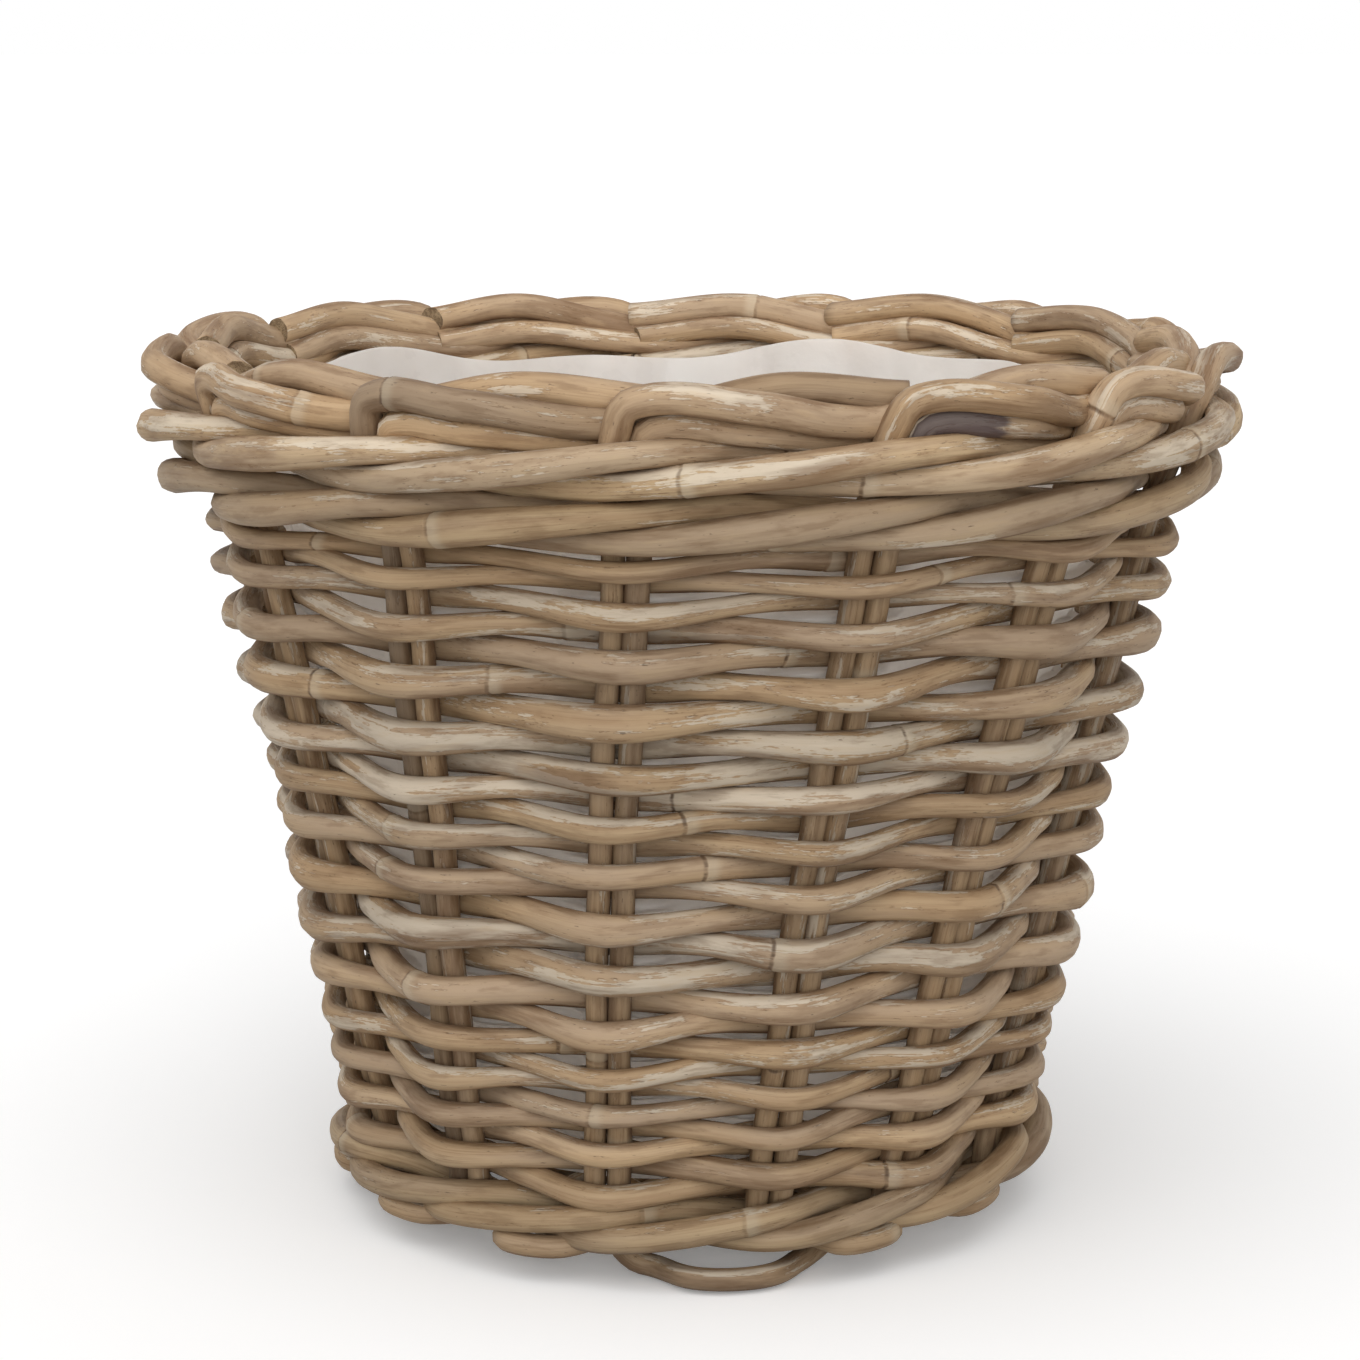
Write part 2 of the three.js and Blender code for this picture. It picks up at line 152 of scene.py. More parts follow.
# Hand work: drift of the pairs, a foot drawn up off three hanging loops, an oval and wavy rim.
PAIR_DRIFT = (1.0, -1.2, 1.2, -0.8, 3.0, 2.6, 1.3, 0.7, -4.2, -1.5, 0.8, -0.6, 0.5)
RESTING_PAIRS = (3, 7, 11)
FOOT_LIFT = 7.5
FOOT_LIFT_REACH = 70.0
FOOT_RISE = 4.0
FOOT_RISE_ANGLE = math.radians(78.0)
FOOT_RISE_WIDTH = math.radians(40.0)
RIM_OVAL = 1.2
RIM_OVAL_TURN = 0.6
RIM_WAVE = 0.8
RIM_WAVES = 3
RIM_WAVE_TURN = 1.1

# Cane: shares by which it is thicker at its nodes, along it and round it, with their lengths.
NODE_SPACING = (120.0, 330.0)
NODE_SWELL = (0.05, 3.5)
NODE_GROOVE = (0.05, 0.5)
NODE_COLLAR = (0.03, 6.0)
NO_NODE = 1000.0
SLOW_SWELLS = ((0.025, 31.0), (0.02, 13.0))
RIB_COUNTS = (2, 3, 5, 7)
RIB_HEIGHT = 0.02
RIB_SWAY = 0.6
RIB_SWAY_LENGTHS = (20, 60)
WOBBLE = 0.3
WOBBLE_LENGTHS = (23.0, 9.5)
SECOND_WOBBLE = 0.7
END_SLANT = 0.5

# How finely rods are drawn, and the radius that their grain is laid out for.
ROD_SIDES = 16
ROD_STEP = 2.2
LEAST_SECTIONS = 3
NODE_STEPS = (-3.2, -1.6, -0.7, -0.25, 0.25, 0.7, 1.6, 3.2)
GRAIN_RADIUS = 4.0

# Looks of rods: ranges of how grey, washed, warm and light they are, and the places of these values.
STAKE_LOOK = {"grey": (0.0, 0.7), "wash": (0.0, 0.5), "warm": (0.1, 0.9), "shade": (0.84, 1.04)}
WALE_LOOK = {"wash": (0.0, 0.8), "warm": (0.0, 0.6)}
BASE_STICK_LOOK = {"warm": (0.1, 0.8), "shade": (0.85, 1.0)}
BASE_WEAVER_LOOK = {"warm": (0.1, 0.8), "shade": (0.88, 1.02)}
GRAIN_STARTS = (0, 30000)
GREY, WASHED, SHADE = 0, 1, 3

# Marks of age: a bleached rim, a pale middle, one dark stake and one stain; and a foot that is darker
# towards the bottom.
BLEACH_Z = (215.0, 236.0)
BLEACH = 1.36
RIM_WASH = 0.2
RIM_GREY = 0.35
# The foot is darker towards the bottom.
FOOT_DARK_Z = (0.0, 40.0)
FOOT_DARK_SHADE = 0.9
PALE_Z = (50.0, 95.0, 135.0, 180.0)
PALE_GREY = 0.25
PALE_WASH = 0.2
DARK_STAKE = "stake_06_left"
DARK_STAKE_SHADE = 0.66
STAIN_PAIR = 8
STAINED_STAKE = f"stake_{STAIN_PAIR:02d}_right"
STAIN_ALONG = 12.0
STAIN_RADIUS = 8.0
RING_SCATTER = 12.9898

SEED = 20
PHASES = (0, 6)
rng = np.random.default_rng(SEED)
liner_low, liner_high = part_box("plastic_liner")
AXIS = np.array(((liner_low + liner_high) / 2)[:2]) / MM
stick_low, stick_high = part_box("base_stick_2")
BASE_RADIUS = (stick_high.x - stick_low.x) / 2 / MM


# Places on the basket

def wall_radius(z):
    """The radius of the circle of the stakes at a height."""
    return np.interp(z, WALL_Z, WALL_RADIUS)


def place_angle(place, z):
    """The angle of a place counted in pairs, turned by the stakes' lean and the pairs' drift."""
    drift = np.interp((np.asarray(place) - 1) % PAIRS, range(PAIRS + 1), PAIR_DRIFT + PAIR_DRIFT[:1])
    lean = STAKE_LEAN / BASKET_HEIGHT * (z - BASKET_HEIGHT / 2)
    return FRONT_PAIR_ANGLE + (place - FRONT_PAIR) * PAIR_STEP + lean + drift / wall_radius(z)


def on_wall(angle, stand_off, z):
    """Points at an angle from the front, off the circle of the stakes, at a height."""
    radius = wall_radius(z) + stand_off
    return np.stack([radius * np.sin(angle), -radius * np.cos(angle), z], axis=-1)


def hump(distance, height, width):
    """A smooth rise about nought that dies away on both sides."""
    return height * np.exp(-(distance / width) ** 2)


def foot_lift(angle):
    """How far the foot is drawn up off the floor, most at the right."""
    return FOOT_LIFT + hump(angle - FOOT_RISE_ANGLE, FOOT_RISE, FOOT_RISE_WIDTH)


def settle(points):
    """Points moved as the hand-made basket stands, on three loops of its foot."""
    x, y, z = points.T
    angle = np.arctan2(x, -y)
    spread = np.hypot(x, y) / WALL_RADIUS[0]
    near_floor = np.clip(1 - z / FOOT_LIFT_REACH, 0, 1) ** 2 * np.clip(spread, 0, 1) ** 2
    lift = foot_lift(angle) * near_floor
    high = np.clip(z / BASKET_HEIGHT, 0, 1) ** 2
    oval = 1 + RIM_OVAL / WALL_RADIUS[-1] * np.cos(2 * angle - RIM_OVAL_TURN) * high
    wave = RIM_WAVE * np.sin(RIM_WAVES * angle + RIM_WAVE_TURN) * high
    return np.stack([x * oval + AXIS[0], y * oval + AXIS[1], z + lift + wave], axis=-1)


def stain_centre():
    z = LOWER_BORDER["z"]
    angle = place_angle(STAIN_PAIR, z) + STAIN_ALONG / wall_radius(z)
    return settle(on_wall(angle, LOWER_BORDER["bulge"], z)[None])[0]


STAIN_CENTRE = stain_centre()


# Rods

ROD_TURN = np.linspace(0, 2 * math.pi, ROD_SIDES, endpoint=False)


def character(grey=(0.0, 1.0), wash=(0.0, 1.0), warm=(0.0, 1.0), shade=(0.9, 1.1)):
    """A rod's own look: how grey, washed and warm it is, its shade, and where its grain starts."""
    rod = [rng.uniform(*grey), rng.uniform(*wash) ** 2, rng.uniform(*warm), rng.uniform(*shade)]
    return {"rod": rod, "start": rng.uniform(*GRAIN_STARTS)}


def unit(vectors):
    return vectors / np.linalg.norm(vectors, axis=-1, keepdims=True)


def smooth_path(knots, wanted):
    """Values of a smooth curve through knots, whose first three columns are a point."""
    chords = np.linalg.norm(np.diff(knots[:, :3], axis=0), axis=1)
    at = np.concatenate([[0], np.cumsum(chords)])
    slopes = np.gradient(knots, at, axis=0)
    index = np.clip(np.searchsorted(at, wanted, side="right") - 1, 0, len(chords) - 1)
    step = chords[index][:, None]
    t = (wanted - at[index])[:, None] / step
    rise = t * t * (3 - 2 * t)
    ease_out = t * (1 - t) ** 2 * step
    ease_in = t * t * (t - 1) * step
    ends = knots[index] * (1 - rise) + knots[index + 1] * rise
    return ends + slopes[index] * ease_out + slopes[index + 1] * ease_in


def node_places(length):
    """Where the rings of the cane's nodes lie along a rod."""
    places = []
    at = rng.uniform(0, NODE_SPACING[1])
    while at < length:
        places.append(at)
        at += rng.uniform(*NODE_SPACING)
    return np.array(places)


def section_places(length, nodes):
    """Where along a rod its sections are drawn: evenly, and closer together at the nodes."""
    places = [np.linspace(0, length, max(LEAST_SECTIONS, round(length / ROD_STEP)))]
    places += [node + np.array(NODE_STEPS) for node in nodes]
    return np.unique(np.clip(np.concatenate(places), 0, length))


def rod_axes(centre, along, upright):
    """Unit vectors along a rod, away from the basket's axis or up, and across both."""
    tangent = unit(np.gradient(centre, along, axis=0))
    if upright:
        out = np.tile([0.0, 0.0, 1.0], (len(centre), 1))
    else:
        out = unit((centre - [*AXIS, 0]) * [1, 1, 0])
    normal = unit(out - (out * tangent).sum(axis=1, keepdims=True) * tangent)
    return tangent, normal, np.cross(tangent, normal)


def wobble(along):
    """A slow wander of a rod's middle, as natural cane is never quite straight."""
    first, second = (along[:, None] / WOBBLE_LENGTHS + rng.uniform(*PHASES, 2)).T
    return WOBBLE * (np.sin(first) + SECOND_WOBBLE * np.sin(second))[:, None]


def from_node(along, nodes):
    """How far each place is past the nearest node, or before it if negative."""
    if not len(nodes):
        return np.full(len(along), NO_NODE)
    to_node = along[:, None] - nodes[None, :]
    return to_node[np.arange(len(along)), np.abs(to_node).argmin(axis=1)]


def cane_surface(along, nearest):
    """How much thicker the cane is than its plain section, along it and round it."""
    swell = hump(nearest, *NODE_SWELL) - hump(nearest, *NODE_GROOVE)
    collar = NODE_COLLAR[0] * np.where(nearest > 0, np.exp(-np.abs(nearest) / NODE_COLLAR[1]), 0)
    slow = sum(size * np.sin(along / length + rng.uniform(*PHASES)) for size, length in SLOW_SWELLS)
    ribs = np.zeros((len(along), ROD_SIDES))
    for count in RIB_COUNTS:
        start = rng.uniform(*PHASES)
        sway = start + RIB_SWAY * np.sin(along / rng.uniform(*RIB_SWAY_LENGTHS) + rng.uniform(*PHASES))
        ribs += RIB_HEIGHT * np.cos(count * ROD_TURN[None, :] + sway[:, None])
    return 1 + (swell + collar + slow)[:, None] + ribs


def slant_ends(rings, tangent):
    """Both ends of a rod cut at a slant of their own."""
    for end, slant in zip((0, -1), rng.uniform(-END_SLANT, END_SLANT, 2)):
        reach = np.linalg.norm(rings[end] - rings[end].mean(axis=0), axis=1)
        rings[end] += tangent[end] * (slant * reach * np.cos(ROD_TURN))[:, None]


def rod_marks(name, centre, along, nearest):
    """How far it is to the nearest node, how strong its ring is, and the stain."""
    stain = np.clip(2 - np.linalg.norm(centre - STAIN_CENTRE, axis=1) / STAIN_RADIUS, 0, 1)
    stain = stain * (name == STAINED_STAKE)
    strength = np.sin(RING_SCATTER * (along - nearest)) * 0.5 + 0.5
    return np.stack([nearest * MM, strength, stain], axis=-1)


def rod_look(centre, rod):
    """How grey, washed, warm and light a rod is along it, with the marks of age and the darker foot at
    each height.
    """
    z = centre[:, 2]
    look = np.tile(rod, (len(centre), 1))
    pale = np.interp(z, PALE_Z, (0, 1, 1, 0))
    look[:, GREY] += np.interp(z, BLEACH_Z, (0, RIM_GREY)) + PALE_GREY * pale
    look[:, WASHED] += np.interp(z, BLEACH_Z, (0, RIM_WASH)) + PALE_WASH * pale
    # Darker towards the bottom of the foot.
    look[:, SHADE] *= np.interp(z, FOOT_DARK_Z, (FOOT_DARK_SHADE, 1))
    look[:, SHADE] *= np.interp(z, BLEACH_Z, (1, BLEACH))
    return look


def ring_corners(rings, sides):
    """Point numbers of the faces between rings: here, beside, beside on the next ring, next ring."""
    first = np.arange(rings - 1)[:, None] * sides
    here = first + np.arange(sides)
    beside = first + (np.arange(sides) + 1) % sides
    return here, beside, beside + sides, here + sides


def rod_mesh(name, rings):
    """A rod's mesh, smooth along its length, with flat ends in the second material."""
    points = np.concatenate([rings.reshape(-1, 3), rings[:1].mean(axis=1), rings[-1:].mean(axis=1)])
    walls = np.stack(ring_corners(len(rings), ROD_SIDES), axis=-1).reshape(-1, 4)
    here = np.arange(ROD_SIDES)
    beside = (here + 1) % ROD_SIDES
    last = (len(rings) - 1) * ROD_SIDES
    first_cap = np.stack([beside, here, np.full(ROD_SIDES, len(points) - 2)], axis=-1)
    last_cap = np.stack([last + here, last + beside, np.full(ROD_SIDES, len(points) - 1)], axis=-1)
    mesh = bpy.data.meshes.new(name)
    mesh.from_pydata(points * MM, [], [*walls.tolist(), *first_cap.tolist(), *last_cap.tolist()])
    caps = np.arange(len(mesh.polygons)) >= len(walls)
    mesh.polygons.foreach_set("use_smooth", ~caps)
    mesh.polygons.foreach_set("material_index", caps.astype(np.int32))
    return mesh


def for_points(values):
    """Values of a rod's sections, repeated for their points and for the middles of the two ends."""
    return np.concatenate([np.repeat(values, ROD_SIDES, axis=0), values[:1], values[-1:]]).ravel()


def keep_values(mesh, along, marks, look):
    """What the material reads from a rod's mesh: the place in its grain, its marks and its look."""
    round_it = GRAIN_RADIUS * np.cos(ROD_TURN)[None, :], GRAIN_RADIUS * np.sin(ROD_TURN)[None, :]
    places = np.stack(np.broadcast_arrays(along[:, None], *round_it), axis=-1).reshape(-1, 3)
    places = np.concatenate([places, places[:1], places[-1:]]) * MM
    mesh.attributes.new("cane", "FLOAT_VECTOR", "POINT").data.foreach_set("vector", places.ravel())
    mesh.attributes.new("ring", "FLOAT_VECTOR", "POINT").data.foreach_set("vector", for_points(marks))
    mesh.attributes.new("rod", "FLOAT_COLOR", "POINT").data.foreach_set("color", for_points(look))


def add_rod(name, knots, slot, own, upright=False):
    """A length of cane through knots of x, y, z, depth and height of its section, in millimetres."""
    length = np.linalg.norm(np.diff(knots[:, :3], axis=0), axis=1).sum()
    nodes = node_places(length)
    along = section_places(length, nodes)
    path = smooth_path(knots, along)
    centre = settle(path[:, :3])
    tangent, normal, side = rod_axes(centre, along, upright)
    centre = centre + normal * wobble(along) + side * wobble(along)
    nearest = from_node(along, nodes)
    thick = cane_surface(along, nearest)
    depth = path[:, 3:4] / 2 * thick
    height = path[:, 4:5] / 2 * thick
    rings = centre[:, None] + normal[:, None] * (depth * np.cos(ROD_TURN))[..., None]
    rings += side[:, None] * (height * np.sin(ROD_TURN))[..., None]
    slant_ends(rings, tangent)
    mesh = rod_mesh(name, rings)
    marks = rod_marks(name, centre, along, nearest)
    keep_values(mesh, along + own["start"], marks, rod_look(centre, own["rod"]))
    mesh.materials.append(MATERIALS[slot])
    mesh.materials.append(MATERIALS["cut_end"])
    piece = bpy.data.objects.new(name + "_cane", mesh)
    bpy.context.scene.collection.objects.link(piece)
    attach(piece, "root")
    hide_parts(name)


# Shader nodes

def srgb(red, green, blue):
    """A colour written in display values of 0 to 255, as the shader takes it."""
    shares = [value / 255 for value in (red, green, blue)]
    return (*[s / 12.92 if s <= 0.04045 else ((s + 0.055) / 1.055) ** 2.4 for s in shares], 1.0)


def new_material(name):
    material = bpy.data.materials.new(name)
    material.use_nodes = True
    tree = material.node_tree
    return material, tree, tree.nodes["Principled BSDF"]


def add_node(tree, kind, inputs, **settings):
    made = tree.nodes.new("ShaderNode" + kind)
    for key, value in settings.items():
        setattr(made, key, value)
    for key, value in inputs.items():
        if isinstance(value, bpy.types.NodeSocket):
            tree.links.new(value, made.inputs[key])
        else:
            made.inputs[key].default_value = value
    return made


def maths(tree, operation, *values):
    made = add_node(tree, "Math", dict(enumerate(values)), operation=operation)
    return made.outputs[0]


def weighted(tree, first, *others):
    """The sum of values times their weights."""
    total = maths(tree, "MULTIPLY", *first)
    for value, weight in others:
        total = maths(tree, "ADD", total, maths(tree, "MULTIPLY", value, weight))
    return total


def ramp(tree, value, low, high, bottom=0.0, top=1.0):
    """Bottom up to low, top from high, and a smooth change between."""
    places = {"Value": value, 1: low, 2: high, 3: bottom, 4: top}
    return add_node(tree, "MapRange", places, interpolation_type="SMOOTHSTEP").outputs[0]


def mix(tree, factor, first, second):
    return add_node(tree, "MixRGB", {0: factor, 1: first, 2: second}).outputs[0]


def grain(tree, cane, along, across, detail):
    """Noise drawn out along the cane."""
    scaled = add_node(tree, "VectorMath", {0: cane, 1: (along, across, across)}, operation="MULTIPLY")
    places = {"Vector": scaled.outputs[0], "Scale": 1.0, "Detail": detail, "Roughness": GRAIN_ROUGHNESS}
    return add_node(tree, "TexNoise", places).outputs[0]


def cloudy(tree, place, scale, detail):
    """Noise that is the same in all directions."""
    return add_node(tree, "TexNoise", {"Vector": place, "Scale": scale, "Detail": detail}).outputs[0]


def add_bump(tree, shader, height, strength, distance):
    bump = add_node(tree, "Bump", {"Strength": strength, "Distance": distance, "Height": height})
    tree.links.new(bump.outputs[0], shader.inputs["Normal"])


# Material of the cane

# Grain: features in a metre along the cane and across it, and how fine the detail is.
GRAIN = {
    "streak": (14.0, 420.0, 4.0),
    "fibre": (40.0, 2100.0, 3.0),
    "stretch": (9.0, 60.0, 3.0),
    "mottle": (70.0, 330.0, 5.0),
    "patch": (26.0, 210.0, 5.0),
    "speck": (380.0, 1500.0, 2.0),
    "soil": (18.0, 130.0, 5.0),
    "ragged": (30.0, 140.0, 3.0),
    "cracked": (60.0, 500.0, 3.0),
}
GRAIN_ROUGHNESS = 0.55

# Ramps: the low and the high end of a value, and what it gives at each; rings are in metres.
STREAK_LIGHT = (0.3, 0.72)
FIBRE_DARK = (0.5, 0.72, 0.0, 0.38)
STRETCH_GREY = (0.3, 0.7, -0.5, 0.5)
GREY_COVER = (0.1, 1.0, 0.0, 0.85)
STRETCH_WARM = (0.35, 0.65, 0.6, 0.0)
FIBRE_WASH = (0.3, 0.7, -0.04, 0.04)
SPECK_WASH = (0.3, 0.7, -0.035, 0.035)
WASH = (0.67, 0.7)
# Dirt, together with painted shade on the undersides of the rods.
SOIL_AND_UNDERSIDE_SHADE_DARK = (0.52, 0.68, 0.0, 0.6)
MOTTLE_DARK = (0.5, 0.66, 0.0, 0.35)
MOTTLE_LIGHT = (0.32, 0.46, 0.3, 0.0)
# Painted shade along both edges of a rod, where it meets its neighbours, broken by the mottling.
EDGE_PAINTED_SHADE = (0.0026, 0.004)
MOTTLE_EDGE_SHADE = (0.35, 0.6, 0.15, 0.55)
CHIP_OUTSIDE = (0.64, 0.665)
CHIP_INSIDE = (0.67, 0.68, 1.0, 0.0)
SPECK_CHIP = (0.45, 0.6, 0.0, 0.5)
SPECK_SPOT = (0.68, 0.76, 0.0, 0.6)
RING_RAGGED = (0.2, 0.8, -0.0006, 0.0006)
COLLAR_START = (0.0002, 0.0008)
COLLAR_END = (0.002, 0.005, 0.35, 0.0)
CRACK = (0.0001, 0.0008, 1.0, 0.0)
CRACK_BREAKS = (0.35, 0.6, 0.2, 1.0)
STREAK_STAIN = (0.3, 0.7, 0.2, 1.5)
STAIN_COVER = (0.25, 0.75, 0.0, 0.85)
FIBRE_ROUGHNESS = (0.3, 0.7, 0.58, 0.78)

# Weights of single values, and the cane's shine and relief.
# Painted light: the pale wash rises on surfaces that face upward.
UPPER_SIDE_PAINTED_LIGHT = 0.05
WASH_OF_ROD = 0.27
WASH_COVER = 0.7
# Painted shade: the dark soil colour rises on surfaces that face down.
UNDERSIDE_PAINTED_SHADE = -0.05
CRACK_OF_RING = 0.65
CRACK_LEAST = 0.2
CANE_RELIEF = {"fibre": 0.5, "streak": 0.9, "wash": 0.35, "crack": -1.0, "spots": -0.6}
CANE_BUMP = {"strength": 0.55, "distance": 0.0005}
CANE_SHINE = 0.4

# Colours of the marks on the cane.
WARM_COLOUR = srgb(169, 140, 106)
WASH_COLOUR = srgb(205, 193, 174)
SPOT_COLOUR = srgb(84, 66, 48)
COLLAR_COLOUR = srgb(200, 186, 162)
CRACK_COLOUR = srgb(84, 64, 46)
STAIN_COLOUR = srgb(68, 56, 60)


def cane_values(tree):
    """What the grain and a rod's mesh say of a point."""
    cane = add_node(tree, "Attribute", {}, attribute_name="cane").outputs["Vector"]
    rod = add_node(tree, "Attribute", {}, attribute_name="rod")
    marks = add_node(tree, "Attribute", {}, attribute_name="ring").outputs["Vector"]
    facing = add_node(tree, "NewGeometry", {}).outputs["Normal"]
    at = {name: grain(tree, cane, *scales) for name, scales in GRAIN.items()}
    amounts = add_node(tree, "SeparateColor", {0: rod.outputs["Color"]})
    at["grey"], at["washed"], at["warm"] = amounts.outputs
    at["shade"] = rod.outputs["Alpha"]
    ring, at["ring_strength"], at["stained"] = add_node(tree, "SeparateXYZ", {0: marks}).outputs
    at["ring"] = maths(tree, "ADD", ring, ramp(tree, at["ragged"], *RING_RAGGED))
    at["upward"] = add_node(tree, "SeparateXYZ", {0: facing}).outputs["Z"]
    at["edge"] = maths(tree, "ABSOLUTE", add_node(tree, "SeparateXYZ", {0: cane}).outputs["Z"])
    return at


def wash_level(tree, at):
    """How near a point is to being scuffed pale: more on washed rods, and more on upper sides as painted
    light.
    """
    frayed = ramp(tree, at["fibre"], *FIBRE_WASH)
    flecked = ramp(tree, at["speck"], *SPECK_WASH)
    level = maths(tree, "ADD", maths(tree, "ADD", at["patch"], frayed), flecked)
    # Painted light: upward-facing surfaces are made paler.
    more = weighted(tree, (at["upward"], UPPER_SIDE_PAINTED_LIGHT), (at["washed"], WASH_OF_ROD))
    return maths(tree, "ADD", level, more)


def node_crack(tree, at):
    """The dark crack round a node, broken in places and fainter at some nodes."""
    crack = ramp(tree, maths(tree, "ABSOLUTE", at["ring"]), *CRACK)
    crack = maths(tree, "MULTIPLY", crack, ramp(tree, at["cracked"], *CRACK_BREAKS))
    strength = maths(tree, "MULTIPLY_ADD", at["ring_strength"], CRACK_OF_RING, CRACK_LEAST)
    return maths(tree, "MULTIPLY", crack, strength)


def grained(tree, at, light, middle, dark, grey):
    """Clean cane: pale streaks, dark fibres, and grey and warm stretches."""
    colour = mix(tree, ramp(tree, at["streak"], *STREAK_LIGHT), middle, light)
    colour = mix(tree, ramp(tree, at["fibre"], *FIBRE_DARK), colour, dark)
    grey_here = maths(tree, "ADD", at["grey"], ramp(tree, at["stretch"], *STRETCH_GREY))
    colour = mix(tree, ramp(tree, grey_here, *GREY_COVER), colour, grey)
    warm_here = maths(tree, "MULTIPLY", at["warm"], ramp(tree, at["stretch"], *STRETCH_WARM))
    return mix(tree, warm_here, colour, WARM_COLOUR)


def soiled_and_shaded(tree, at, colour, light, dark):
    """Dirt, dark and light mottling, painted shade on the undersides, and painted shade along both edges
    of a rod where it meets its neighbours.
    """
    # Real dirt noise, plus painted shade on downward-facing surfaces.
    soil = weighted(tree, (at["soil"], 1.0), (at["upward"], UNDERSIDE_PAINTED_SHADE))
    colour = mix(tree, ramp(tree, soil, *SOIL_AND_UNDERSIDE_SHADE_DARK), colour, dark)
    colour = mix(tree, ramp(tree, at["mottle"], *MOTTLE_DARK), colour, dark)
    colour = mix(tree, ramp(tree, at["mottle"], *MOTTLE_LIGHT), colour, light)
    # Painted shade: the edges of a rod, where it meets its neighbours, are darkened.
    painted_edge_shade = maths(
        tree, "MULTIPLY", ramp(tree, at["edge"], *EDGE_PAINTED_SHADE), ramp(tree, at["mottle"], *MOTTLE_EDGE_SHADE))
    return mix(tree, painted_edge_shade, colour, dark)


def chipped(tree, at, level):
    """Dark specks along the border of a washed patch."""
    border = maths(tree, "MULTIPLY", ramp(tree, level, *CHIP_OUTSIDE), ramp(tree, level, *CHIP_INSIDE))
    return maths(tree, "MULTIPLY", border, ramp(tree, at["speck"], *SPECK_CHIP))


def ringed(tree, at, colour):
    """A pale collar past each node, and its crack."""
    collar = maths(
        tree, "MULTIPLY", ramp(tree, at["ring"], *COLLAR_START), ramp(tree, at["ring"], *COLLAR_END))
    colour = mix(tree, collar, colour, COLLAR_COLOUR)
    return mix(tree, at["crack"], colour, CRACK_COLOUR)


def stained(tree, at, colour):
    """The dark stain, ragged along the grain."""
    blotch = maths(tree, "MULTIPLY", at["stained"], ramp(tree, at["streak"], *STREAK_STAIN))
    return mix(tree, ramp(tree, blotch, *STAIN_COVER), colour, STAIN_COLOUR)


def cane_material(name, light, middle, dark, grey):
    """Weathered cane: its grain, with wash, dirt, chips, spots, rings and a stain over it, and painted
    light on upper sides and painted shade on undersides and along the edges of each rod.
    """
    material, tree, shader = new_material(name)
    at = cane_values(tree)
    level = wash_level(tree, at)
    at["wash"] = ramp(tree, level, *WASH)
    at["spots"] = ramp(tree, at["speck"], *SPECK_SPOT)
    at["crack"] = node_crack(tree, at)
    colour = grained(tree, at, light, middle, dark, grey)
    colour = mix(tree, maths(tree, "MULTIPLY", at["wash"], WASH_COVER), colour, WASH_COLOUR)
    colour = soiled_and_shaded(tree, at, colour, light, dark)
    colour = mix(tree, chipped(tree, at, level), colour, dark)
    colour = mix(tree, at["spots"], colour, SPOT_COLOUR)
    colour = ringed(tree, at, colour)
    colour = stained(tree, at, colour)
    shaded = add_node(tree, "HueSaturation", {"Color": colour, "Value": at["shade"]})
    tree.links.new(shaded.outputs[0], shader.inputs["Base Color"])
    tree.links.new(ramp(tree, at["fibre"], *FIBRE_ROUGHNESS), shader.inputs["Roughness"])
    shader.inputs["Specular IOR Level"].default_value = CANE_SHINE
    relief = weighted(tree, *[(at[value], weight) for value, weight in CANE_RELIEF.items()])
    add_bump(tree, shader, relief, **CANE_BUMP)
    return material


# Material of the cut ends

PORE_SCALE = 2600.0
PORE_DARK = (0.15, 0.4, 0.8, 0.0)
PORE_COLOUR = srgb(62, 46, 33)
PORE_BUMP = {"strength": 0.6, "distance": 0.0004}
PITH_CLOUD = {"scale": 500.0, "detail": 3.0}
PITH_LIGHT = (0.35, 0.65)
PITH_DARK_COLOUR = srgb(120, 98, 72)
PITH_LIGHT_COLOUR = srgb(164, 142, 110)
PITH_ROUGHNESS = 0.85


def cut_end_material():
    """End grain of cut cane: dark pith with open pores."""
    material, tree, shader = new_material("cut_end")
    place = add_node(tree, "TexCoord", {}).outputs["Object"]
    pores = add_node(tree, "TexVoronoi", {"Vector": place, "Scale": PORE_SCALE}).outputs["Distance"]
    cloud = cloudy(tree, place, **PITH_CLOUD)
    colour = mix(tree, ramp(tree, cloud, *PITH_LIGHT), PITH_DARK_COLOUR, PITH_LIGHT_COLOUR)
    colour = mix(tree, ramp(tree, pores, *PORE_DARK), colour, PORE_COLOUR)
    tree.links.new(colour, shader.inputs["Base Color"])
    shader.inputs["Roughness"].default_value = PITH_ROUGHNESS
    add_bump(tree, shader, pores, **PORE_BUMP)
    return material


# Material of the film

FILM_CLOUD = {"scale": 45.0, "detail": 4.0}
FILM_CRUMPLE = {"scale": 320.0, "detail": 3.0}
FILM_CLOUD_RELIEF = 2.0
FILM_CRUMPLE_RELIEF = 0.5
FILM_BUMP = {"strength": 0.5, "distance": 0.001}
FILM_LIGHT = (0.3, 0.7)
FILM_ROUGHNESS = (0.3, 0.7, 0.25, 0.42)
FILM_DARK_COLOUR = srgb(244, 240, 236)
FILM_LIGHT_COLOUR = srgb(252, 250, 247)
FILM_THROUGH_COLOUR = srgb(252, 248, 243)
FILM_THROUGH = 0.5


